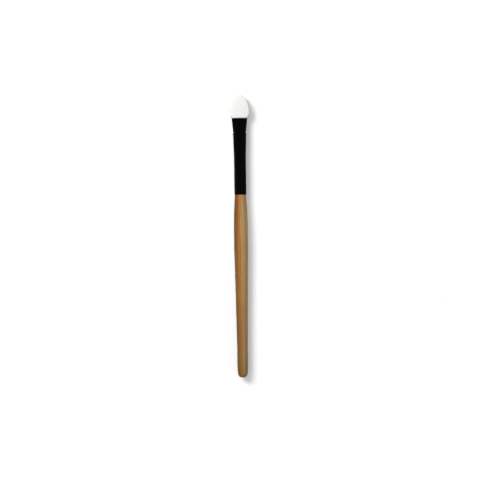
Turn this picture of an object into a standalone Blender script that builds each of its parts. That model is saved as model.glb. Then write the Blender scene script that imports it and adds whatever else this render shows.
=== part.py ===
"""Smudge brush: a turned bamboo handle, a ferrule pressed flat at its mouth, and a foam tip on a plastic core.

The brush lies with its axis along +Y, its tip towards +Y and its belly on Z = 0. Each piece is modelled
upright, with stations measured along +Z from the handle's butt end, and an empty lays the brush down.
Inside the head, a depth is a distance below the ferrule's mouth, and a height is one above it.
"""

import math

import bpy
from mathutils import Vector
from mathutils.geometry import interpolate_bezier

# Lengths along the brush that show, in metres
HANDLE_LENGTH = 0.1067
FERRULE_LENGTH = 0.0446
TIP_LENGTH = 0.0137

# Gap between neighbouring pieces, which set glue or squeezed foam fills
CLEARANCE = 0.0002

# Handle, turned from bamboo
BELLY_DIAMETER = 0.0082
BELLY_SETBACK = 0.0300
SHANK_DIAMETER = 0.00585
BUTT_ROUNDING = 0.0030
BUTT_FLAT_DIAMETER = 0.0019
NECK_STEP = 0.00019
TENON_CHAMFER = 0.0006
GLUE_GROOVE_WIDTH = 0.0026
GLUE_GROOVE_DEPTH = 0.0008
GLUE_GROOVE_SETBACK = 0.0086

# Bezier handles of the turned outline, as shares of the run along the axis and of the change in radius
TAPER_HANDLE_SHARES = ((0.70, 0.57), (0.94, 1.0))
NECK_HANDLE_SHARES = ((0.49, 0.0), (0.60, 0.0))

# Ferrule, a thin tube whose length round the outside stays the same as it is pressed flat
FERRULE_DIAMETER = 0.0070
FERRULE_WALL = 0.0003
FERRULE_EDGE = 0.00007
SWAGE_DEPTH = 0.0250
CRIMP_DEPTH = 0.0081
BEAD_SPACING = 0.0012
CRIMP_REACH = 0.0006
GROOVE_DEPTH = 0.00024
BEAD_HEIGHT = 0.00018
CRIMP_PRESSED_SHARE = 0.82
MOUTH_PRESSED_SHARE = 0.50

# Foam sleeve, two layers sealed together round their edge
FOAM_WIDTH = 0.0120
FOAM_THICKNESS = 0.0052
FOAM_WIDEST_HEIGHT = 0.0036
FOAM_TAIL = 0.0050
FOAM_SEAM_THICKNESS = 0.0009
FOAM_APEX_WIDTH = 0.0013
SHOULDER_POWER = 0.70
DOME_POWER = 0.55
CROWN_POWER = 0.62
PILLOW_POWERS = (2.3, 1.8)

# Plastic core, a blade inside the foam on a round stem inside the glue
BLADE_WIDTH = 0.0060
BLADE_ROOT_WIDTH = 0.0046
BLADE_THICKNESS = 0.0010
FOAM_NOSE = 0.0043
STEM_DIAMETER = 0.0024
STEM_LENGTH = 0.0090
STEM_CHAMFER = 0.0003
CORE_SHOULDER = 0.0028
GRIP_DIAMETER = 0.0030
GRIP_HALF_WIDTH = 0.0003
GRIP_PITCH = 0.0024
GRIP_RINGS = 3

# Set glue and the air left between it and the handle
GLUE_BASE = 0.0010
AIR_GAP = 0.0096

# Facets
ROUND_STEPS = 40
CORE_STEPS = 20
TAPER_POINTS = 11
NECK_POINTS = 9
BUTT_STEPS = 6
SWAGE_SECTIONS = 6
CRIMP_SECTIONS = 12
FLARE_SECTIONS = 6
SHOULDER_SECTIONS = 6
DOME_SECTIONS = 10
BLADE_TIP_SECTIONS = 6
EDGE_SEGMENTS = 2
MERGE_DISTANCE = 0.000001
SHARP_ANGLE = math.radians(32)
RIM_ANGLE = math.radians(60)

# Places worked out from the sizes above
OVERALL_LENGTH = HANDLE_LENGTH + FERRULE_LENGTH + TIP_LENGTH
MOUTH_STATION = HANDLE_LENGTH + FERRULE_LENGTH
BELLY_STATION = HANDLE_LENGTH - BELLY_SETBACK
SHOULDER_STATION = HANDLE_LENGTH - CLEARANCE
NECK_DIAMETER = FERRULE_DIAMETER - 2 * NECK_STEP
TENON_DIAMETER = FERRULE_DIAMETER - 2 * (FERRULE_WALL + CLEARANCE)
STEM_TOP_DEPTH = FOAM_TAIL + CORE_SHOULDER
STEM_END_DEPTH = STEM_TOP_DEPTH + STEM_LENGTH
PLUG_TOP_DEPTH = FOAM_TAIL + CLEARANCE
PLUG_END_DEPTH = STEM_END_DEPTH + GLUE_BASE
TENON_END_STATION = MOUTH_STATION - PLUG_END_DEPTH - AIR_GAP
GROOVE_MIDDLE_STATION = TENON_END_STATION - GLUE_GROOVE_SETBACK


def clear_scene():
    for thing in list(bpy.data.objects):
        bpy.data.objects.remove(thing)


def new_collection(name):
    collection = bpy.data.collections.new(name)
    bpy.context.scene.collection.children.link(collection)
    return collection


def finish(name, colour, roughness, metallic=0.0):
    """A Principled material of one colour."""
    material = bpy.data.materials.new(name)
    material.use_nodes = True
    shader = material.node_tree.nodes["Principled BSDF"]
    shader.inputs["Base Color"].default_value = (*colour, 1.0)
    shader.inputs["Roughness"].default_value = roughness
    shader.inputs["Metallic"].default_value = metallic
    return material


def spread(start, end, steps):
    """Evenly spaced values from start to end, both included."""
    return [start + (end - start) * index / steps for index in range(steps + 1)]


def eased(share):
    """Rises smoothly from 0 to 1 as share does, and stays level outside that."""
    share = min(max(share, 0.0), 1.0)
    return share * share * (3 - 2 * share)


def ripple(share):
    """A smooth bump, 1 at share 0 and level beyond share 1 on both sides."""
    return (1 + math.cos(math.pi * min(abs(share), 1.0))) / 2


def rounded(share, power):
    """Falls from 1 at share 0 to 0 at share 1 along a round shoulder."""
    return max(1 - share * share, 0.0) ** power


def flattened_ring(width, thickness, station, steps):
    """Points spaced evenly round a tube pressed flat: two straight sides joined by half circles."""
    radius = thickness / 2
    half_flat = (width - thickness) / 2
    arc = math.pi * radius / 2
    points = []
    for index in range(steps):
        quadrant, along = divmod(4 * index / steps, 1)
        distance = (arc + half_flat) * (along if quadrant % 2 == 0 else 1 - along)
        if distance < arc:
            x = half_flat + radius * math.cos(distance / radius)
            y = radius * math.sin(distance / radius)
        else:
            x = half_flat + arc - distance
            y = radius
        side = 1 if quadrant in (0, 3) else -1
        face = 1 if quadrant in (0, 1) else -1
        points.append(Vector((side * x, face * y, station)))
    return points


def pillow_ring(width, thickness, station, steps):
    """Points round a crowned pad's section, which narrows to its sealed edges."""
    points = []
    for index in range(steps):
        angle = 2 * math.pi * index / steps
        across = math.copysign(abs(math.cos(angle)) ** (2 / PILLOW_POWERS[0]), math.cos(angle))
        up = math.copysign(abs(math.sin(angle)) ** (2 / PILLOW_POWERS[1]), math.sin(angle))
        points.append(Vector((across * width / 2, up * thickness / 2, station)))
    return points


def lofted(name, rings, capped=True):
    """A mesh skinned through rings of points, from the lowest station to the highest."""
    steps = len(rings[0])
    faces = []
    for level in range(len(rings) - 1):
        low = level * steps
        high = low + steps
        for index in range(steps):
            following = (index + 1) % steps
            faces.append((low + index, low + following, high + following, high + index))
    if capped:
        last = (len(rings) - 1) * steps
        faces.append(tuple(reversed(range(steps))))
        faces.append(tuple(range(last, last + steps)))
    mesh = bpy.data.meshes.new(name)
    mesh.from_pydata([point for ring in rings for point in ring], [], faces)
    return mesh


def turned(name, outline, closed=False):
    """A mesh line of (radius, station) points, which a Screw modifier turns about the brush's axis."""
    edges = [(index, index + 1) for index in range(len(outline) - 1)]
    if closed:
        edges.append((len(outline) - 1, 0))
    mesh = bpy.data.meshes.new(name)
    mesh.from_pydata([(radius, 0, station) for radius, station in outline], edges, [])
    return mesh


def add_piece(name, mesh, material, collection, axis):
    piece = bpy.data.objects.new(name, mesh)
    piece.data.materials.append(material)
    piece.parent = axis
    collection.objects.link(piece)
    return piece


def add_screw(piece):
    screw = piece.modifiers.new("Turning", "SCREW")
    screw.axis = "Z"
    screw.angle = 2 * math.pi
    screw.steps = ROUND_STEPS
    screw.render_steps = ROUND_STEPS
    screw.use_merge_vertices = True
    screw.merge_threshold = MERGE_DISTANCE


def add_cut(piece, cutter):
    cut = piece.modifiers.new("Cut", "BOOLEAN")
    cut.operation = "DIFFERENCE"
    cut.object = cutter


def shade_round(mesh):
    mesh.shade_smooth()
    mesh.set_sharp_from_angle(angle=SHARP_ANGLE)


def bezier_run(start, end, shares, count):
    """Points from start to end, each (radius, station), on a curve with handles at shares of the run."""
    handles = []
    for along, across in shares:
        radius = start[0] + across * (end[0] - start[0])
        station = start[1] + along * (end[1] - start[1])
        handles.append(Vector((radius, station, 0)))
    knots = [Vector((*start, 0)), Vector((*end, 0))]
    curve = interpolate_bezier(knots[0], handles[0], handles[1], knots[1], count)
    return [(point.x, point.y) for point in curve]


def butt_outline():
    """The handle's rounded end, from its flat up to the shank."""
    flat = BUTT_FLAT_DIAMETER / 2
    outline = []
    for angle in spread(0.0, math.pi / 2, BUTT_STEPS):
        radius = flat + (SHANK_DIAMETER / 2 - flat) * math.sin(angle)
        outline.append((radius, BUTT_ROUNDING * (1 - math.cos(angle))))
    return outline


def tenon_outline():
    """The tenon inside the ferrule, with a groove for glue, up to the middle of its end face."""
    radius = TENON_DIAMETER / 2
    floor = radius - GLUE_GROOVE_DEPTH
    low = GROOVE_MIDDLE_STATION - GLUE_GROOVE_WIDTH / 2
    high = GROOVE_MIDDLE_STATION + GLUE_GROOVE_WIDTH / 2
    return [
        (radius, SHOULDER_STATION),
        (radius, low),
        (floor, low),
        (floor, high),
        (radius, high),
        (radius, TENON_END_STATION - TENON_CHAMFER),
        (radius - TENON_CHAMFER, TENON_END_STATION),
        (0, TENON_END_STATION),
    ]


def handle_mesh():
    shank = (SHANK_DIAMETER / 2, BUTT_ROUNDING)
    belly = (BELLY_DIAMETER / 2, BELLY_STATION)
    neck = (NECK_DIAMETER / 2, SHOULDER_STATION)
    outline = [(0, 0)]
    outline += butt_outline()[:-1]
    outline += bezier_run(shank, belly, TAPER_HANDLE_SHARES, TAPER_POINTS)[:-1]
    outline += bezier_run(belly, neck, NECK_HANDLE_SHARES, NECK_POINTS)
    outline += tenon_outline()
    return turned("bamboo_handle", outline[::-1])


def glue_ring_mesh():
    """The ring of set glue that keys the handle's tenon to the ferrule."""
    outer = TENON_DIAMETER / 2
    inner = outer - GLUE_GROOVE_DEPTH + CLEARANCE
    low = GROOVE_MIDDLE_STATION - GLUE_GROOVE_WIDTH / 2 + CLEARANCE
    high = GROOVE_MIDDLE_STATION + GLUE_GROOVE_WIDTH / 2 - CLEARANCE
    return turned("tenon_glue_ring", [(outer, high), (outer, low), (inner, low), (inner, high)], closed=True)


def ferrule_section(depth):
    """Width and thickness of the ferrule's outside at a depth below its mouth."""
    swaged = eased((SWAGE_DEPTH - depth) / (SWAGE_DEPTH - CRIMP_DEPTH - BEAD_SPACING))
    flared = eased((CRIMP_DEPTH - depth) / CRIMP_DEPTH)
    pressed = swaged * (1 - CRIMP_PRESSED_SHARE) + flared * (CRIMP_PRESSED_SHARE - MOUTH_PRESSED_SHARE)
    thickness = FERRULE_DIAMETER * (1 - pressed)
    width = (math.pi * FERRULE_DIAMETER - (math.pi - 2) * thickness) / 2
    bead = BEAD_HEIGHT * ripple((depth - CRIMP_DEPTH - BEAD_SPACING) / CRIMP_REACH)
    groove = GROOVE_DEPTH * ripple((depth - CRIMP_DEPTH) / CRIMP_REACH)
    relief = 2 * (bead - groove)
    return width + relief, thickness + relief


def bore_ring(depth):
    """The section that fits inside the ferrule at a depth, clear of its wall."""
    width, thickness = ferrule_section(depth)
    inset = 2 * (FERRULE_WALL + CLEARANCE)
    return flattened_ring(width - inset, thickness - inset, MOUTH_STATION - depth, ROUND_STEPS)


def crimp_depths(steps):
    """Depths through the crimp's bead and groove, deepest first."""
    return spread(CRIMP_DEPTH + BEAD_SPACING + CRIMP_REACH, CRIMP_DEPTH - CRIMP_REACH, steps)


def ferrule_mesh():
    crimp = crimp_depths(CRIMP_SECTIONS)
    depths = [FERRULE_LENGTH]
    depths += spread(SWAGE_DEPTH, crimp[0], SWAGE_SECTIONS)
    depths += crimp[1:]
    depths += spread(crimp[-1], 0.0, FLARE_SECTIONS)[1:]
    rings = []
    for depth in depths:
        width, thickness = ferrule_section(depth)
        rings.append(flattened_ring(width, thickness, MOUTH_STATION - depth, ROUND_STEPS))
    return lofted("ferrule", rings, capped=False)


def add_ferrule_wall(piece):
    """Gives the ferrule's outer skin its wall, and breaks the edges of its two rims."""
    wall = piece.modifiers.new("Wall", "SOLIDIFY")
    wall.thickness = FERRULE_WALL
    wall.offset = -1
    wall.use_even_offset = True
    rims = piece.modifiers.new("Rims", "BEVEL")
    rims.width = FERRULE_EDGE
    rims.segments = EDGE_SEGMENTS
    rims.limit_method = "ANGLE"
    rims.angle_limit = RIM_ANGLE


def foam_ring(height):
    """The foam's section at a height above the mouth: it swells out of the mouth, then closes in a dome."""
    mouth_width, mouth_thickness = ferrule_section(0.0)
    inset = 2 * (FERRULE_WALL + CLEARANCE)
    neck_width = mouth_width - inset
    neck_thickness = mouth_thickness - inset
    if height < FOAM_WIDEST_HEIGHT:
        swell = rounded(1 - height / FOAM_WIDEST_HEIGHT, SHOULDER_POWER)
        width = neck_width + (FOAM_WIDTH - neck_width) * swell
        thickness = neck_thickness + (FOAM_THICKNESS - neck_thickness) * swell
    else:
        along = (height - FOAM_WIDEST_HEIGHT) / (TIP_LENGTH - FOAM_WIDEST_HEIGHT)
        width = FOAM_APEX_WIDTH + (FOAM_WIDTH - FOAM_APEX_WIDTH) * rounded(along, DOME_POWER)
        thickness = FOAM_SEAM_THICKNESS + (FOAM_THICKNESS - FOAM_SEAM_THICKNESS) * rounded(along, CROWN_POWER)
    station = MOUTH_STATION + height
    flat = flattened_ring(width, thickness, station, ROUND_STEPS)
    pillow = pillow_ring(width, thickness, station, ROUND_STEPS)
    share = eased(height / FOAM_WIDEST_HEIGHT)
    return [low.lerp(high, share) for low, high in zip(flat, pillow)]


def foam_mesh():
    rings = [bore_ring(depth) for depth in spread(FOAM_TAIL, 0.0, SHOULDER_SECTIONS // 2)]
    for angle in spread(0.0, math.pi / 2, SHOULDER_SECTIONS)[:-1]:
        rings.append(foam_ring(CLEARANCE + (FOAM_WIDEST_HEIGHT - CLEARANCE) * (1 - math.cos(angle))))
    for angle in spread(0.0, math.pi / 2, DOME_SECTIONS):
        rise = (TIP_LENGTH - FOAM_WIDEST_HEIGHT) * math.sin(angle)
        rings.append(foam_ring(FOAM_WIDEST_HEIGHT + rise))
    return lofted("foam_tip", rings)


def core_sections(grown):
    """Depth, width and thickness of the core's sections from its stem's end to its tip, grown all round."""
    sections = [
        (STEM_END_DEPTH + grown, STEM_DIAMETER - 2 * STEM_CHAMFER, STEM_DIAMETER - 2 * STEM_CHAMFER),
        (STEM_END_DEPTH + grown - STEM_CHAMFER, STEM_DIAMETER, STEM_DIAMETER),
    ]
    for number in range(1, GRIP_RINGS + 1):
        middle = STEM_END_DEPTH - number * GRIP_PITCH
        for offset, diameter in ((2, STEM_DIAMETER), (1, GRIP_DIAMETER), (-1, GRIP_DIAMETER), (-2, STEM_DIAMETER)):
            sections.append((middle + offset * GRIP_HALF_WIDTH, diameter, diameter))
    for share in (0.0, 0.5, 1.0):
        width = STEM_DIAMETER + (BLADE_ROOT_WIDTH - STEM_DIAMETER) * eased(share)
        thickness = STEM_DIAMETER + (BLADE_THICKNESS - STEM_DIAMETER) * eased(share)
        sections.append((STEM_TOP_DEPTH - share * CORE_SHOULDER, width, thickness))
    tip_radius = BLADE_WIDTH / 2 + grown
    dome_depth = FOAM_NOSE + BLADE_WIDTH / 2 - TIP_LENGTH
    blunt_angle = math.acos((BLADE_THICKNESS / 2 + grown) / tip_radius)
    for angle in spread(0.0, blunt_angle, BLADE_TIP_SECTIONS):
        width = 2 * (tip_radius * math.cos(angle) - grown)
        sections.append((dome_depth - tip_radius * math.sin(angle), width, BLADE_THICKNESS))
    return [(depth, width + 2 * grown, thickness + 2 * grown) for depth, width, thickness in sections]


def core_mesh(name, grown=0.0):
    rings = []
    for depth, width, thickness in core_sections(grown):
        rings.append(flattened_ring(width, thickness, MOUTH_STATION - depth, CORE_STEPS))
    return lofted(name, rings)


def glue_plug_mesh():
    """Set glue, cast against the ferrule's inside from below the stem up to the foam."""
    crimp = crimp_depths(CRIMP_SECTIONS // 2)
    depths = spread(PLUG_END_DEPTH, crimp[0], SWAGE_SECTIONS // 2)
    depths += crimp[1:]
    depths += [PLUG_TOP_DEPTH]
    return lofted("head_glue_plug", [bore_ring(depth) for depth in depths])


def main():
    clear_scene()
    brush = new_collection("smudge_brush")
    cutters = new_collection("cutters")

    axis = bpy.data.objects.new("brush_axis", None)
    axis.location = (0, -OVERALL_LENGTH / 2, BELLY_DIAMETER / 2)
    axis.rotation_euler = (-math.pi / 2, 0, 0)
    brush.objects.link(axis)

    bamboo = finish("bamboo", (0.38, 0.20, 0.075), 0.42)
    black_lacquer = finish("black_lacquer", (0.008, 0.008, 0.008), 0.34)
    foam_white = finish("foam_white", (0.86, 0.86, 0.82), 0.9)
    plastic_white = finish("plastic_white", (0.80, 0.80, 0.78), 0.4)
    set_glue = finish("set_glue", (0.62, 0.52, 0.30), 0.3)

    handle = add_piece("bamboo_handle", handle_mesh(), bamboo, brush, axis)
    add_screw(handle)

    glue_ring = add_piece("tenon_glue_ring", glue_ring_mesh(), set_glue, brush, axis)
    add_screw(glue_ring)

    ferrule = add_piece("ferrule", ferrule_mesh(), black_lacquer, brush, axis)
    shade_round(ferrule.data)
    add_ferrule_wall(ferrule)

    core = add_piece("applicator_core", core_mesh("applicator_core"), plastic_white, brush, axis)
    shade_round(core.data)

    socket = add_piece("core_socket", core_mesh("core_socket", CLEARANCE), set_glue, cutters, axis)
    socket.hide_render = True
    socket.display_type = "WIRE"

    plug = add_piece("head_glue_plug", glue_plug_mesh(), set_glue, brush, axis)
    shade_round(plug.data)
    add_cut(plug, socket)

    foam = add_piece("foam_tip", foam_mesh(), foam_white, brush, axis)
    shade_round(foam.data)
    add_cut(foam, socket)


main()
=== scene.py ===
import math

import bpy
import numpy as np
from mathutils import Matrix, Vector, noise


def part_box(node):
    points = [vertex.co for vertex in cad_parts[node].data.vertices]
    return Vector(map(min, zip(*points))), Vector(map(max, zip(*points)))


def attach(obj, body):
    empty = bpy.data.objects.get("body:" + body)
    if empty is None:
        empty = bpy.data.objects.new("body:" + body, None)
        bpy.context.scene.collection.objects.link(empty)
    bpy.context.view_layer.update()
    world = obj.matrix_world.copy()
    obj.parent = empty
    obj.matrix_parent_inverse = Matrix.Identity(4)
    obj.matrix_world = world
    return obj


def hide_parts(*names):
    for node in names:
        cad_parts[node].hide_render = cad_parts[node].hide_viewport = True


# Looks of the smudge brush. Lengths are in metres and angles in degrees, unless a name ends in MM.
# The brush lies along Y with its tip towards +Y, and its axis runs AXIS_HEIGHT above the floor.

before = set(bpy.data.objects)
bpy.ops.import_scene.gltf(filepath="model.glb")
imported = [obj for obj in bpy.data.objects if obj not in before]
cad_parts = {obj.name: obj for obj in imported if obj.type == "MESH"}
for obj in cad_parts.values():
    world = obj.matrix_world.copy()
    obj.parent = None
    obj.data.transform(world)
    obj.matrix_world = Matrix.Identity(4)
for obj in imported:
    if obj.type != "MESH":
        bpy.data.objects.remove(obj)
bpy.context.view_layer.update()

# Places read from the frame
handle_low, handle_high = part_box("bamboo_handle")
ferrule_low, ferrule_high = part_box("ferrule")
foam_low, foam_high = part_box("foam_tip")
glue_low, glue_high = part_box("tenon_glue_ring")
AXIS_HEIGHT = (handle_low.z + handle_high.z) / 2
TENON_END_Y = handle_high.y
TENON_RADIUS = (glue_high.x - glue_low.x) / 2
FERRULE_BACK_Y = ferrule_low.y
FERRULE_ROUND = ferrule_high.z - ferrule_low.z
FOAM_TAIL_Y = foam_low.y
APEX_Y = foam_high.y
FOAM_WIDTH = foam_high.x - foam_low.x
FOAM_THICKNESS = foam_high.z - foam_low.z

# Sizes of the frame that its boxes don't give
CLEARANCE = 0.0002
TENON_CHAMFER = 0.0006
FERRULE_LENGTH = 0.0446
FERRULE_WALL = 0.0003
SWAGE_DEPTH = 0.0250
CRIMP_DEPTH = 0.0081
BEAD_SPACING = 0.0012
CRIMP_REACH = 0.0006
GROOVE_DEPTH = 0.00024
BEAD_HEIGHT = 0.00018
CRIMP_PRESSED_SHARE = 0.82
MOUTH_PRESSED_SHARE = 0.50
FOAM_WIDEST_HEIGHT = 0.0036
FOAM_APEX_WIDTH = 0.0013
SHOULDER_POWER = 0.55
DOME_POWER = 0.55

MOUTH_Y = FERRULE_BACK_Y + FERRULE_LENGTH
TIP_LENGTH = APEX_Y - MOUTH_Y

# Details that only the looks have
RIM_ROUNDING = 0.00010
EDGE_THICKNESS = 0.0034
EDGE_ROUNDING = 0.0004
EDGE_POWER = 0.5
APEX_THICKNESS = 0.0016
THINNING_POWER = 0.635
CROWN_POWER = 0.5
SWELL_POWER = 0.5
SWELL_HEIGHT = 0.0004
PAD_HEIGHT = 0.0005
CREASE_HEIGHT = 0.0010
CREASE_REACH = 0.0004
CREASE_DEPTH = 0.00004
PLEAT_HEIGHT = 0.00005
PLEAT_REACH = 0.0036
PLEAT_PITCH = 0.0017
LUMP_HEIGHT = 0.00004
LUMP_SIZE = 0.0021
SQUEEZE = 0.00002

# Points round each section, and the spacing and number of sections along the brush
ROUND_POINTS = 128
HANDLE_SPACING = 0.0008
SWAGE_SPACING = 0.0006
CRIMP_SPACING = 0.00006
LEAST_STEPS = 2
RIM_STEPS = 8
TAIL_STEPS = 8
SHOULDER_STEPS = 44
DOME_STEPS = 90
APEX_STEPS = 8

# CAD vertices share a section where their places along the brush agree to so many decimals of a metre.
HANDLE_DECIMALS = 6
CORE_DECIMALS = 5

# Facets meet sharply above this angle, and points closer together than this length are joined.
SHARP_ANGLE = 40
WELD_REACH = 0.000001

MM_PER_M = 1000.0


# Numbers and curves


def spread(start, end, steps):
    """Evenly spaced values from start to end, both included."""
    return [start + (end - start) * index / steps for index in range(steps + 1)]


def steps_in(length, spacing):
    """How many steps of about the given spacing go into a length."""
    return max(LEAST_STEPS, round(length / spacing))


def eased(share):
    """Rises smoothly from 0 to 1 as share does, and stays level outside that."""
    share = min(max(share, 0.0), 1.0)
    return share * share * (3 - 2 * share)


def ripple(share):
    """A smooth bump, 1 at share 0 and level beyond share 1 on both sides."""
    return (1 + math.cos(math.pi * min(abs(share), 1.0))) / 2


def rounded(share, power):
    """Falls from 1 at share 0 to 0 at share 1 along a round shoulder, which is a circle's at power 0.5."""
    return max(1 - share * share, 0.0) ** power


def smooth_line(points, spacing):
    """Points about spacing apart on a smooth line through the given ones."""
    knots = np.array(points)
    lengths = np.concatenate(([0.0], np.cumsum(np.hypot(*np.diff(knots, axis=0).T))))
    slopes = np.gradient(knots, lengths, axis=0)
    line = []
    for index in range(len(knots) - 1):
        run = lengths[index + 1] - lengths[index]
        for share in spread(0.0, 1.0, steps_in(run, spacing))[:-1]:
            rise = eased(share)
            start_pull = share * (1 - share) ** 2 * run
            end_pull = share * share * (share - 1) * run
            line.append(
                knots[index] * (1 - rise) + knots[index + 1] * rise
                + slopes[index] * start_pull + slopes[index + 1] * end_pull
            )
    return line + [knots[-1]]


# Points of the CAD nodes


def cad_points(name):
    """The vertices of a CAD node, one a row."""
    return np.array([vertex.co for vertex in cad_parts[name].data.vertices])


def cad_sections(name, decimals):
    """(y, points) at each place along the brush where a CAD node has vertices, from the butt on."""
    points = cad_points(name)
    stations = np.round(points[:, 1], decimals)
    return [(y, points[stations == y]) for y in np.unique(stations)]


def radii(points):
    """How far points lie from the brush's axis."""
    return np.hypot(points[:, 0], points[:, 2] - AXIS_HEIGHT)


# Pieces and the sections that they are skinned through


def add_object(name, data):
    """Puts a mesh, a light or a camera in the scene."""
    made = bpy.data.objects.new(name, data)
    bpy.context.scene.collection.objects.link(made)
    return made


def band_faces(levels, steps, closed):
    """Faces from each ring of points to the next, and from the last to the first if closed."""
    faces = []
    for level in range(levels if closed else levels - 1):
        low = level * steps
        high = (level + 1) % levels * steps
        for index in range(steps):
            following = (index + 1) % steps
            faces.append((low + index, low + following, high + following, high + index))
    return faces


def fan_faces(start, steps, middle, flipped):
    """Faces from a ring of points to the one in its middle."""
    faces = []
    for index in range(steps):
        here, following = start + index, start + (index + 1) % steps
        faces.append((following, here, middle) if flipped else (here, following, middle))
    return faces


def skin(name, rings, closed=False):
    """A piece skinned through rings of points, with a fan over each end unless it is closed."""
    steps = len(rings[0])
    points = [point for ring in rings for point in ring]
    faces = band_faces(len(rings), steps, closed)
    if not closed:
        for start, flipped in ((0, True), (len(points) - steps, False)):
            faces += fan_faces(start, steps, len(points), flipped)
            points.append(sum((Vector(point) for point in points[start:start + steps]), Vector()) / steps)
    mesh = bpy.data.meshes.new(name)
    mesh.from_pydata(points, [], faces)
    mesh.shade_smooth()
    mesh.set_sharp_from_angle(angle=math.radians(SHARP_ANGLE))
    return add_object(name, mesh)


def flattened_ring(width, thickness, y):
    """Points spaced evenly round a tube pressed flat: two straight sides joined by half circles."""
    radius = thickness / 2
    half_flat = (width - thickness) / 2
    arc = math.pi * radius / 2
    points = []
    # The quadrants run from the right under the tube to the left, and back over it.
    for index in range(ROUND_POINTS):
        quadrant, along = divmod(4 * index / ROUND_POINTS, 1)
        distance = (arc + half_flat) * (along if quadrant % 2 == 0 else 1 - along)
        if distance < arc:
            x = half_flat + radius * math.cos(distance / radius)
            z = radius * math.sin(distance / radius)
        else:
            x = half_flat + arc - distance
            z = radius
        side = 1 if quadrant in (0, 3) else -1
        face = -1 if quadrant in (0, 1) else 1
        points.append((side * x, y, AXIS_HEIGHT + face * z))
    return points


def round_ring(radius, y):
    """Points spaced evenly round the axis."""
    return flattened_ring(2 * radius, 2 * radius, y)


def dress(piece, material, slot, *nodes):
    """Gives a piece its material and lets it stand for CAD nodes of the one rigid body."""
    piece.data.materials.append(material)
    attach(piece, "root")
    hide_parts(*nodes)


def dress_inner(name, material):
    """Gives a hidden CAD node its material and evens the shading of its facets."""
    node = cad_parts[name]
    node.material_slots[0].material = material
    weld = node.modifiers.new("Welded", "WELD")
    weld.merge_threshold = WELD_REACH
    node.modifiers.new("Even", "WEIGHTED_NORMAL")


# Handle


def turned_outline(last_y):
    """(y, radius) at each section of the turned CAD handle, from its butt to last_y."""
    sections = cad_sections("bamboo_handle", HANDLE_DECIMALS)
    return [(y, radii(points).max()) for y, points in sections if y < last_y + CLEARANCE / 2]


def tenon_outline(shoulder_y):
    """(y, radius) along the tenon, with the groove that the glue ring fills."""
    groove_radius = radii(cad_points("tenon_glue_ring")).min() - CLEARANCE
    groove_back = glue_low.y - CLEARANCE
    groove_front = glue_high.y + CLEARANCE
    return [
        (shoulder_y, TENON_RADIUS),
        (groove_back, TENON_RADIUS),
        (groove_back, groove_radius),
        (groove_front, groove_radius),
        (groove_front, TENON_RADIUS),
        (TENON_END_Y - TENON_CHAMFER, TENON_RADIUS),
        (TENON_END_Y, TENON_RADIUS - TENON_CHAMFER),
    ]


def make_handle():
    """The turned handle, finer than its CAD node, down to the tenon's end inside the ferrule."""
    shoulder_y = FERRULE_BACK_Y - CLEARANCE
    outline = smooth_line(turned_outline(shoulder_y), HANDLE_SPACING) + tenon_outline(shoulder_y)
    return skin("turned_handle", [round_ring(radius, y) for y, radius in outline])


# Ferrule


def ferrule_section(depth):
    """Width and thickness of the ferrule's outside at a depth below its mouth."""
    swaged = eased((SWAGE_DEPTH - depth) / (SWAGE_DEPTH - CRIMP_DEPTH - BEAD_SPACING))
    flared = eased((CRIMP_DEPTH - depth) / CRIMP_DEPTH)
    pressed = swaged * (1 - CRIMP_PRESSED_SHARE) + flared * (CRIMP_PRESSED_SHARE - MOUTH_PRESSED_SHARE)
    thickness = FERRULE_ROUND * (1 - pressed)
    width = (math.pi * FERRULE_ROUND - (math.pi - 2) * thickness) / 2
    bead = BEAD_HEIGHT * ripple((depth - CRIMP_DEPTH - BEAD_SPACING) / CRIMP_REACH)
    groove = GROOVE_DEPTH * ripple((depth - CRIMP_DEPTH) / CRIMP_REACH)
    relief = 2 * (bead - groove)
    return width + relief, thickness + relief


def ferrule_ring(depth, inset):
    """The ferrule's section at a depth, drawn in from its outside by an inset."""
    width, thickness = ferrule_section(depth)
    return flattened_ring(width - 2 * inset, thickness - 2 * inset, MOUTH_Y - depth)


def wall_depths():
    """Depths of the ferrule's sections between its rims, from the back on and closest at the crimp."""
    depths = [FERRULE_LENGTH - RIM_ROUNDING]
    for end, spacing in (
        (SWAGE_DEPTH, SWAGE_SPACING),
        (CRIMP_DEPTH + BEAD_SPACING + CRIMP_REACH, SWAGE_SPACING),
        (CRIMP_DEPTH - CRIMP_REACH, CRIMP_SPACING),
        (RIM_ROUNDING, SWAGE_SPACING),
    ):
        start = depths[-1]
        depths += spread(start, end, steps_in(start - end, spacing))[1:]
    return depths


def rounded_rim():
    """(depth, inset) round the edge of the mouth, from the ferrule's outside to its inside."""
    turns = spread(0.0, math.pi, RIM_STEPS)[1:-1]
    return [(RIM_ROUNDING * (1 - math.sin(turn)), FERRULE_WALL * (1 - math.cos(turn)) / 2) for turn in turns]


def make_ferrule():
    """The ferrule as one closed wall: outside, rounded mouth, inside and rounded back rim."""
    depths = wall_depths()
    wall = [(depth, 0.0) for depth in depths]
    wall += rounded_rim()
    wall += [(depth, FERRULE_WALL) for depth in reversed(depths)]
    wall += [(FERRULE_LENGTH - depth, inset) for depth, inset in reversed(rounded_rim())]
    return skin("swaged_ferrule", [ferrule_ring(depth, inset) for depth, inset in wall], closed=True)


# Foam tip


def bore_size(depth):
    """Width and thickness of foam that touches the ferrule's inside at a depth."""
    width, thickness = ferrule_section(depth)
    inset = 2 * (FERRULE_WALL + SQUEEZE)
    return width - inset, thickness - inset


def crease(height):
    """How far the foam is drawn in where it folds over the ferrule's mouth."""
    return CREASE_DEPTH * math.exp(-((height - CREASE_HEIGHT) / CREASE_REACH) ** 2)


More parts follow.
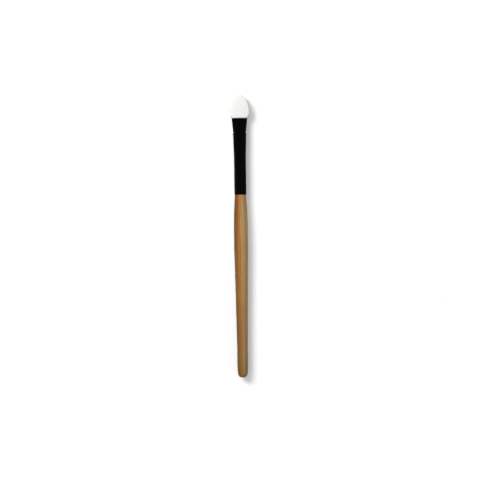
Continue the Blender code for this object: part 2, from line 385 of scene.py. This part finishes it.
def foam_width(height):
    """Width of the foam at a height above the ferrule's mouth."""
    if height > FOAM_WIDEST_HEIGHT:
        along = (height - FOAM_WIDEST_HEIGHT) / (TIP_LENGTH - FOAM_WIDEST_HEIGHT)
        return FOAM_APEX_WIDTH + (FOAM_WIDTH - FOAM_APEX_WIDTH) * rounded(along, DOME_POWER)
    neck = bore_size(0.0)[0]
    swell = rounded(1 - height / FOAM_WIDEST_HEIGHT, SHOULDER_POWER)
    return neck + (FOAM_WIDTH - neck) * swell - 2 * crease(height)


def foam_thickness(height):
    """Thickness of the foam on its axis: it swells fast out of the mouth and thins towards the apex."""
    neck = bore_size(0.0)[1]
    swell = rounded(1 - min(height / SWELL_HEIGHT, 1.0), SWELL_POWER)
    along = max(height - FOAM_WIDEST_HEIGHT, 0.0) / (TIP_LENGTH - FOAM_WIDEST_HEIGHT)
    full = APEX_THICKNESS + (FOAM_THICKNESS - APEX_THICKNESS) * rounded(along, THINNING_POWER)
    return neck + (full - neck) * swell - crease(height)


def foam_heights():
    """Heights of the foam's sections above the mouth, closest together at the mouth and at the apex."""
    shoulder = spread(0.0, math.pi / 2, SHOULDER_STEPS)[:-1]
    dome = spread(0.0, math.pi / 2, DOME_STEPS)
    heights = [FOAM_WIDEST_HEIGHT * (1 - math.cos(angle)) for angle in shoulder]
    heights += [FOAM_WIDEST_HEIGHT + (TIP_LENGTH - FOAM_WIDEST_HEIGHT) * math.sin(angle) for angle in dome]
    return heights


def foam_edge(heights):
    """Points along the foam's edge, seen from above: both sides and across the apex."""
    side = [(foam_width(height) / 2, height) for height in heights]
    across = [(x, TIP_LENGTH) for x in spread(side[-1][0], 0.0, APEX_STEPS)[1:]]
    half = side + across
    return np.array(half + [(-x, height) for x, height in reversed(half[:-1])])


def edge_distance(x, height, edge):
    """Distance from a point of the pad to its edge."""
    starts, runs = edge[:-1], np.diff(edge, axis=0)
    reach = np.array((x, height)) - starts
    shares = np.clip((reach * runs).sum(axis=1) / (runs * runs).sum(axis=1), 0.0, 1.0)
    gaps = reach - runs * shares[:, None]
    return float(np.hypot(gaps[:, 0], gaps[:, 1]).min())


def pad_ring(height, edge):
    """The foam's section away from the mouth: a crowned pad with round edges."""
    half_width = foam_width(height) / 2
    fullness = foam_thickness(height) / FOAM_THICKNESS
    points = []
    for index in range(ROUND_POINTS):
        angle = 2 * math.pi * index / ROUND_POINTS
        x = math.cos(angle) * half_width
        inward = min(edge_distance(x, height, edge) / EDGE_ROUNDING, 1.0)
        crown = (FOAM_THICKNESS - EDGE_THICKNESS) * rounded(math.cos(angle), CROWN_POWER)
        z = (EDGE_THICKNESS + crown) / 2 * fullness * rounded(1 - inward, EDGE_POWER)
        face = -1 if math.sin(angle) > 0 else 1
        points.append((x, MOUTH_Y + height, AXIS_HEIGHT + face * z))
    return points


def foam_ring(height, edge):
    """The foam's section above the mouth, which turns from the pressed neck into the pad."""
    neck = flattened_ring(foam_width(height), foam_thickness(height), MOUTH_Y + height)
    share = eased(height / PAD_HEIGHT)
    return [Vector(low).lerp(Vector(high), share) for low, high in zip(neck, pad_ring(height, edge))]


def uneven(point, height):
    """Moves a point of the foam by its soft lumps, and by the pleats that the squeezed neck leaves."""
    outward = Vector((point.x, 0.0, point.z - AXIS_HEIGHT)).normalized()
    lumps = noise.noise(point / LUMP_SIZE) * LUMP_HEIGHT * eased(height / FOAM_WIDEST_HEIGHT)
    fading = eased(height / CREASE_HEIGHT) * (1 - eased(height / PLEAT_REACH))
    wander = noise.noise(point / PLEAT_REACH)
    pleats = math.sin(2 * math.pi * (point.x / PLEAT_PITCH + wander)) * PLEAT_HEIGHT * fading
    return point + outward * (lumps + pleats)


def core_pocket():
    """Sections of the pocket that holds the plastic core, from the foam's tail up to its end."""
    rings = []
    for y, points in cad_sections("applicator_core", CORE_DECIMALS):
        if y >= FOAM_TAIL_Y:
            width = 2 * (np.abs(points[:, 0]).max() + CLEARANCE)
            thickness = 2 * (np.abs(points[:, 2] - AXIS_HEIGHT).max() + CLEARANCE)
            rings.append(flattened_ring(max(width, thickness), thickness, y if rings else FOAM_TAIL_Y))
    return rings


def make_foam():
    """The foam sleeve: its pocket from the closed end to the tail, then its outside up to the apex."""
    heights = foam_heights()
    edge = foam_edge(heights)
    rings = core_pocket()[::-1]
    for depth in spread(MOUTH_Y - FOAM_TAIL_Y, 0.0, TAIL_STEPS)[:-1]:
        rings.append(flattened_ring(*bore_size(depth), MOUTH_Y - depth))
    for height in heights:
        rings.append([uneven(point, height) for point in foam_ring(height, edge)])
    return skin("foam_sponge", rings)


# Shader nodes


def shown(sockets):
    """The sockets that a node shows, from the top."""
    return [socket for socket in sockets if socket.enabled]


def feed(tree, socket, value):
    """Links an output to a socket, or sets the socket's own value."""
    if isinstance(value, bpy.types.NodeSocket):
        tree.links.new(value, socket)
    elif socket.type == "RGBA":
        socket.default_value = (*value, 1.0)
    else:
        socket.default_value = value


def set_up(tree, node, *values, **named):
    """Feeds a node's sockets in order, or by name. A name in lower case sets one of its properties."""
    for name, value in named.items():
        if name.islower():
            setattr(node, name, value)
        else:
            feed(tree, node.inputs[name.replace("_", " ")], value)
    for socket, value in zip(shown(node.inputs), values):
        feed(tree, socket, value)
    return node


def add_node(tree, kind, *values, **named):
    """Adds a shader node of a kind and sets it up."""
    return set_up(tree, tree.nodes.new("ShaderNode" + kind), *values, **named)


class Finish:
    """A procedural material on a Principled shader, with textures placed in millimetres along the brush."""

    def __init__(self, name, **values):
        self.material = bpy.data.materials.new(name)
        self.material.use_nodes = True
        self.tree = self.material.node_tree
        self.place = self.node("TexCoord").outputs["Object"]
        self.connect(**values)

    def node(self, kind, *values, **named):
        """Adds a node to this material."""
        return add_node(self.tree, kind, *values, **named)

    def connect(self, **values):
        """Feeds the shader's sockets by name, and gives the material back."""
        set_up(self.tree, self.tree.nodes["Principled BSDF"], **values)
        return self.material

    def stretched(self, across, along, shift):
        """Texture space with so many units a millimetre across the brush and along it."""
        middle = AXIS_HEIGHT * MM_PER_M * across
        return self.node(
            "Mapping",
            Vector=self.place,
            Scale=(MM_PER_M * across, MM_PER_M * along, MM_PER_M * across),
            Location=(shift, shift, shift - middle),
        ).outputs["Vector"]

    def noise(self, across, along, shift, detail=3.0, roughness=0.5):
        """Soft noise with about so many waves a millimetre, and finer ones within them."""
        space = self.stretched(across, along, shift)
        made = self.node("TexNoise", Vector=space, Scale=1.0, Detail=detail, Roughness=roughness)
        return made.outputs["Fac"]

    def cells(self, across, along, shift):
        """Distance from the middles of scattered cells, about so many a millimetre."""
        made = self.node("TexVoronoi", Vector=self.stretched(across, along, shift), Scale=1.0)
        return made.outputs["Distance"]

    def rescale(self, value, source, target=(0.0, 1.0), smooth=True):
        """Maps the range source to target, level outside."""
        style = "SMOOTHSTEP" if smooth else "LINEAR"
        return self.node("MapRange", value, *source, *target, interpolation_type=style).outputs["Result"]

    def ramp(self, value, stops):
        """The colour at a value in millimetres, eased between stops of (millimetres, colour)."""
        first, last = stops[0][0], stops[-1][0]
        made = self.node("ValToRGB", self.rescale(value, (first, last), smooth=False))
        made.color_ramp.interpolation = "EASE"
        elements = made.color_ramp.elements
        while len(elements) < len(stops):
            elements.new(1.0)
        for element, (place, colour) in zip(elements, stops):
            element.position = (place - first) / (last - first)
            element.color = (*colour, 1.0)
        return made.outputs["Color"]

    def reckon(self, operation, first, second):
        """The sum, difference or product of two values."""
        return self.node("Math", first, second, operation=operation).outputs["Value"]

    def mix(self, share, first, second, blend_type="MIX"):
        """The second colour laid over the first by a share."""
        made = self.node("Mix", share, first, second, data_type="RGBA", blend_type=blend_type)
        return shown(made.outputs)[0]

    def shaded(self, colour, shade):
        """A colour times a value."""
        grey = self.node("CombineColor", shade, shade, shade).outputs["Color"]
        return self.mix(1.0, colour, grey, "MULTIPLY")

    def axis(self, letter):
        """The coordinate along one axis in millimetres."""
        coordinate = self.node("SeparateXYZ", self.place).outputs[letter]
        return self.reckon("MULTIPLY", coordinate, MM_PER_M)

    def relief(self, height, depth, under=None):
        """Bump of a depth in metres for each unit of height, over another bump where one is given."""
        made = self.node("Bump", Height=height, Distance=depth, Strength=1.0)
        if under is not None:
            feed(self.tree, made.inputs["Normal"], under)
        return made.outputs["Normal"]


# Materials

# Colours of the bamboo from its left side to its right, at places in millimetres. They are partly its own
# caramel and paler tones and partly painted light: painted shade darkens the left edge, and a painted sheen
# makes the right of the middle paler.
BAMBOO_ACROSS_WITH_PAINTED_LIGHT = (
    (-3.6, (0.12, 0.046, 0.005)),
    (-2.5, (0.235, 0.096, 0.016)),
    (-1.2, (0.365, 0.16, 0.035)),
    (0.0, (0.43, 0.216, 0.068)),
    (1.4, (0.44, 0.26, 0.10)),
    (3.4, (0.36, 0.243, 0.10)),
)

# Share of those colours along the brush, on its left side and on its right. These are painted light: they
# fall towards the butt as painted shade, on the left they are also lower next to the ferrule, and on the
# right they rise near the belly as a paler painted sheen.
BAMBOO_LEFT_PAINTED_LIGHT_SHARES = (
    (-82.0, (0.60, 0.69, 0.68)),
    (-66.0, (0.78, 0.80, 0.87)),
    (-31.0, (0.86, 0.88, 0.87)),
    (-12.0, (1.02, 1.03, 1.18)),
    (4.0, (1.02, 0.98, 1.10)),
    (24.0, (0.86, 0.62, 0.33)),
)
BAMBOO_RIGHT_PAINTED_LIGHT_SHARES = (
    (-81.0, (0.66, 0.72, 0.61)),
    (-60.0, (0.86, 0.85, 0.91)),
    (-48.0, (0.88, 0.88, 0.88)),
    (-10.0, (1.04, 1.08, 1.03)),
    (9.0, (1.14, 1.19, 1.18)),
    (21.0, (1.00, 0.95, 1.00)),
)

# Where the left side's shares turn into the right side's, and how far the colours wander sideways
BAMBOO_TURN_MM = (-1.8, 0.4)
BAMBOO_WANDER_MM = (-0.8, 0.8)

# Each pair holds the two shades or tones that a texture varies between.
BUNDLE_SHADES = (0.80, 1.10)
FIBRE_SHADES = (0.86, 1.10)
VESSEL_SHADES = (0.72, 1.0)

# The lacquer is worn through in spots as far as WORN_DEPTH_MM from the mouth.
LACQUER_TONES = ((0.0005, 0.0005, 0.0004), (0.0011, 0.0010, 0.0008))
WORN_TONE = (0.030, 0.028, 0.024)
WORN_DEPTH_MM = 0.16

FOAM_TONES = ((0.925, 0.932, 0.894), (0.940, 0.944, 0.918))
# Painted shade: the foam is darker in the grooves between its small cells and in the middles of its pits.
CELL_PAINTED_SHADES = (1.01, 0.97)
PIT_PAINTED_SHADES = (0.96, 1.0)

PLASTIC_TONES = ((0.77, 0.77, 0.74), (0.83, 0.83, 0.81))
GLUE_TONES = ((0.55, 0.43, 0.20), (0.68, 0.58, 0.35))

# The values that most of a noise lies between
NOISE_SPAN = (0.3, 0.7)


def bamboo_finish():
    """Turned bamboo under satin lacquer: long fibres, darker vessels, and a caramel flank and a paler one
    that are partly its own tone and partly painted shade and a painted sheen.
    """
    wood = Finish("satin_bamboo", Specular_IOR_Level=0.22)
    drift = wood.noise(across=0.30, along=0.020, shift=3.0)
    wander = wood.rescale(drift, (0.25, 0.75), BAMBOO_WANDER_MM, smooth=False)
    side = wood.reckon("ADD", wood.axis("X"), wander)
    # Painted light: the colours across and along carry painted shade on the left edge and towards the butt,
    # and a painted sheen right of the middle near the belly.
    left = wood.ramp(wood.axis("Y"), BAMBOO_LEFT_PAINTED_LIGHT_SHARES)
    right = wood.ramp(wood.axis("Y"), BAMBOO_RIGHT_PAINTED_LIGHT_SHARES)
    along = wood.mix(wood.rescale(side, BAMBOO_TURN_MM), left, right)
    tone = wood.mix(1.0, wood.ramp(side, BAMBOO_ACROSS_WITH_PAINTED_LIGHT), along, "MULTIPLY")
    bundles = wood.noise(across=1.7, along=0.022, shift=7.0, roughness=0.6)
    fibres = wood.noise(across=6.0, along=0.10, shift=11.0, detail=4.0, roughness=0.6)
    vessels = wood.cells(across=2.6, along=0.16, shift=5.0)
    bundle_shade = wood.rescale(bundles, (0.30, 0.72), BUNDLE_SHADES)
    fibre_shade = wood.rescale(fibres, (0.25, 0.75), FIBRE_SHADES)
    vessel_shade = wood.rescale(vessels, (0.05, 0.22), VESSEL_SHADES)
    shade = wood.reckon("MULTIPLY", wood.reckon("MULTIPLY", bundle_shade, fibre_shade), vessel_shade)
    fine = wood.relief(fibre_shade, depth=0.00006)
    return wood.connect(
        Base_Color=wood.shaded(tone, shade),
        Roughness=wood.rescale(fibre_shade, FIBRE_SHADES, (0.46, 0.38), smooth=False),
        Normal=wood.relief(vessel_shade, depth=0.00005, under=fine),
    )


def lacquer_finish():
    """Black lacquer on a drawn tube: draw lines under it, a slight ripple, worn thin at its mouth."""
    black = Finish("black_lacquer", Specular_IOR_Level=0.02)
    lines = black.noise(across=7.0, along=0.05, shift=2.0)
    peel = black.noise(across=1.3, along=1.0, shift=4.0, detail=2.0)
    cloud = black.noise(across=0.5, along=0.12, shift=9.0)
    tone = black.mix(black.rescale(cloud, NOISE_SPAN), *LACQUER_TONES)
    depth = black.reckon("SUBTRACT", MOUTH_Y * MM_PER_M, black.axis("Y"))
    mouth = black.rescale(depth, (0.0, WORN_DEPTH_MM), (1.0, 0.0))
    worn = black.reckon("MULTIPLY", mouth, black.rescale(peel, (0.35, 0.7)))
    drawn = black.relief(lines, depth=0.000006)
    return black.connect(
        Base_Color=black.mix(worn, tone, WORN_TONE),
        Roughness=black.rescale(lines, NOISE_SPAN, (0.44, 0.34)),
        Normal=black.relief(peel, depth=0.000010, under=drawn),
    )


def foam_finish():
    """White sponge: fine open cells and pits, faintly warm and cloudy, with painted shade in the grooves
    between the cells and in the pits.
    """
    sponge = Finish(
        "white_sponge",
        Roughness=0.95,
        Specular_IOR_Level=0.2,
        Subsurface_Weight=0.3,
        Subsurface_Radius=(1.0, 1.0, 1.0),
        Subsurface_Scale=0.0020,
        Sheen_Weight=0.25,
    )
    small = sponge.cells(across=7.5, along=7.5, shift=1.0)
    large = sponge.cells(across=3.6, along=3.6, shift=6.0)
    cloud = sponge.noise(across=0.35, along=0.35, shift=8.0)
    tone = sponge.mix(sponge.rescale(cloud, NOISE_SPAN), *FOAM_TONES)
    # Painted shade in the grooves between the cells and in the middles of the pits
    cell_painted_shade = sponge.rescale(small, (0.05, 0.6), CELL_PAINTED_SHADES)
    pit_painted_shade = sponge.rescale(large, (0.05, 0.30), PIT_PAINTED_SHADES)
    cells = sponge.relief(sponge.rescale(small, (0.10, 0.62)), depth=-0.00003)
    pits = sponge.rescale(large, (0.05, 0.30))
    return sponge.connect(
        Base_Color=sponge.shaded(tone, sponge.reckon("MULTIPLY", cell_painted_shade, pit_painted_shade)),
        Normal=sponge.relief(pits, depth=0.00004, under=cells),
    )


def plastic_finish():
    """White moulded plastic with a faint flow pattern."""
    plastic = Finish("moulded_plastic", Specular_IOR_Level=0.4)
    flow = plastic.noise(across=0.8, along=0.2, shift=2.0)
    return plastic.connect(
        Base_Color=plastic.mix(plastic.rescale(flow, NOISE_SPAN), *PLASTIC_TONES),
        Roughness=plastic.rescale(flow, NOISE_SPAN, (0.34, 0.48)),
        Normal=plastic.relief(flow, depth=0.00001),
    )


def glue_finish():
    """Set glue, amber and a little cloudy, with small bubbles."""
    glue = Finish("set_glue_resin", Specular_IOR_Level=0.5, Transmission_Weight=0.3)
    bubbles = glue.rescale(glue.cells(across=2.5, along=2.5, shift=3.0), (0.0, 0.25))
    cloud = glue.noise(across=0.9, along=0.9, shift=5.0)
    return glue.connect(
        Base_Color=glue.mix(glue.rescale(cloud, NOISE_SPAN), *GLUE_TONES),
        Roughness=glue.rescale(cloud, NOISE_SPAN, (0.22, 0.38)),
        Normal=glue.relief(bubbles, depth=0.00003),
    )


# Floor, light and camera. A share is of the light that shows a white surface at the brush as full white.

WHITE = (1.0, 1.0, 1.0)
FLOOR_SIZE = 6.0
FLOOR_BOUNCE = (0.35, 0.35, 0.35)

# The floor's glow rises from near to far between two distances from the middle of the brush.
NEAR_GLOW = 0.185
FAR_GLOW = 0.75
GLOW_REACH = (0.07, 0.42)

KEY_SHARE = 0.605
KEY_ELEVATION = 47.0
KEY_TURN = 39.0
KEY_DISTANCE = 0.566
KEY_SIZE = 0.35
KEY_AIM_Y = -0.85
FILL_SHARE = 0.075
FILL_ELEVATION = 26.0
FILL_SPREAD = 50.0
SKY_SHARE = 0.32
SKY_SEEN = 1.0
SHEEN_RADIANCE = 16.0
SHEEN_TILT = 29.0
SHEEN_DISTANCE = 0.45
SHEEN_Y = 0.045
SHEEN_SIZE = (0.08, 0.06)

PHOTO_PIXELS = 480
PIXEL_SIZE = 0.0005843
LENS_MM = 100.0
SENSOR_MM = 36.0
LEAN = 0.78
BRUSH_MIDDLE_PIXEL = (241.0, 236.2)
NEAR_CLIP_SHARE = 0.01
FAR_CLIP_SHARE = 20.0


def seen_share(tree):
    """1 for rays that show the surroundings: from the camera, a reflection or through glass."""
    rays = add_node(tree, "LightPath").outputs
    total = rays["Is Camera Ray"]
    for name in ("Is Glossy Ray", "Is Transmission Ray"):
        total = add_node(tree, "Math", total, rays[name], operation="MAXIMUM").outputs["Value"]
    return total


def floor_finish():
    """White to the eye, with a glow that rises away from the brush, and duller in the light it returns."""
    material = bpy.data.materials.new("white_floor")
    material.use_nodes = True
    tree = material.node_tree
    tree.nodes.clear()
    place = add_node(tree, "TexCoord").outputs["Object"]
    reach = add_node(tree, "VectorMath", place, operation="LENGTH").outputs["Value"]
    ends = (*GLOW_REACH, NEAR_GLOW, FAR_GLOW)
    rise = add_node(tree, "MapRange", reach, *ends, interpolation_type="SMOOTHSTEP")
    glow = add_node(tree, "Emission", Strength=rise.outputs["Result"])
    white = add_node(tree, "BsdfDiffuse", Color=WHITE)
    seen = add_node(tree, "AddShader", white.outputs["BSDF"], glow.outputs["Emission"])
    dull = add_node(tree, "BsdfDiffuse", Color=FLOOR_BOUNCE)
    choice = add_node(tree, "MixShader", seen_share(tree), dull.outputs["BSDF"], seen.outputs["Shader"])
    add_node(tree, "OutputMaterial", Surface=choice.outputs["Shader"])
    return material


def make_floor():
    """The plain square floor that the brush lies on."""
    half = FLOOR_SIZE / 2
    corners = [(-half, -half, 0), (half, -half, 0), (half, half, 0), (-half, half, 0)]
    mesh = bpy.data.meshes.new("floor")
    mesh.from_pydata(corners, [], [(0, 1, 2, 3)])
    mesh.materials.append(floor_finish())
    floor = add_object("floor", mesh)


def make_sky():
    """Even light from all round, which shows as white."""
    world = bpy.data.worlds.new("studio")
    world.use_nodes = True
    tree = world.node_tree
    strength = add_node(tree, "MapRange", seen_share(tree), To_Min=SKY_SHARE, To_Max=SKY_SEEN)
    set_up(tree, tree.nodes["Background"], Color=WHITE, Strength=strength.outputs["Result"])
    bpy.context.scene.world = world


def add_lamp(name, kind, location, target, **values):
    """A lamp that looks at a point, with its light's values."""
    light = bpy.data.lights.new(name, kind)
    for key, value in values.items():
        setattr(light, key, value)
    lamp = add_object(name, light)
    lamp.location = location
    lamp.rotation_euler = (Vector(target) - Vector(location)).to_track_quat("-Z", "Y").to_euler()
    return lamp


def make_key():
    """A round softbox to the left of the tip, turned towards the butt so that it lights both ends alike."""
    high, turned = math.radians(KEY_ELEVATION), math.radians(KEY_TURN)
    way = Vector((-math.cos(high) * math.cos(turned), math.cos(high) * math.sin(turned), math.sin(high)))
    location = way * KEY_DISTANCE
    target = Vector((0.0, KEY_AIM_Y, 0.0))
    facing = way.dot((location - target).normalized())
    energy = KEY_SHARE * (math.pi * KEY_DISTANCE) ** 2 / (math.sin(high) * facing)
    lamp = add_lamp("key", "AREA", location, target, shape="DISK", size=KEY_SIZE, energy=energy)
    lamp.visible_glossy = False


def make_fill():
    """A low, broad and weak light from the right."""
    high = math.radians(FILL_ELEVATION)
    location = (math.cos(high), 0.0, math.sin(high))
    energy = FILL_SHARE * math.pi / math.sin(high)
    lamp = add_lamp("fill", "SUN", location, (0.0, 0.0, 0.0), angle=math.radians(FILL_SPREAD), energy=energy)
    lamp.visible_glossy = False


def make_sheen():
    """A softbox that shows only as sheen on the lacquer and the bamboo."""
    tilt = math.radians(SHEEN_TILT)
    location = (SHEEN_DISTANCE * math.sin(tilt), SHEEN_Y, SHEEN_DISTANCE * math.cos(tilt))
    width, length = SHEEN_SIZE
    lamp = add_lamp(
        "sheen",
        "AREA",
        location,
        target=(0.0, SHEEN_Y, 0.0),
        shape="RECTANGLE",
        size=width,
        size_y=length,
        energy=SHEEN_RADIANCE * math.pi * width * length,
    )
    lamp.visible_diffuse = False


def make_camera():
    """The photo's view: straight down, with the brush leaning a little to the left."""
    data = bpy.data.cameras.new("camera")
    data.lens = LENS_MM
    data.sensor_width = SENSOR_MM
    camera = add_object("camera", data)
    lean = math.radians(LEAN)
    right = Vector((math.cos(lean), -math.sin(lean), 0.0))
    up = Vector((math.sin(lean), math.cos(lean), 0.0))
    across = (BRUSH_MIDDLE_PIXEL[0] - PHOTO_PIXELS / 2) * PIXEL_SIZE
    above = (PHOTO_PIXELS / 2 - BRUSH_MIDDLE_PIXEL[1]) * PIXEL_SIZE
    distance = PHOTO_PIXELS * PIXEL_SIZE * LENS_MM / SENSOR_MM
    camera.location = -across * right - above * up + Vector((0.0, 0.0, AXIS_HEIGHT + distance))
    camera.rotation_euler = (0.0, 0.0, -lean)
    data.clip_start = distance * NEAR_CLIP_SHARE
    data.clip_end = distance * FAR_CLIP_SHARE
    bpy.context.scene.camera = camera


dress(make_handle(), bamboo_finish(), "bamboo", "bamboo_handle")
dress(make_ferrule(), lacquer_finish(), "black_ferrule", "ferrule")
foam = make_foam()
dress(foam, foam_finish(), "white_foam", "foam_tip")
dress_inner("applicator_core", plastic_finish())
resin = glue_finish()
dress_inner("head_glue_plug", resin)
dress_inner("tenon_glue_ring", resin)

make_floor()
make_sky()
make_key()
make_fill()
make_sheen()
make_camera()
bpy.context.scene.view_settings.view_transform = "Standard"
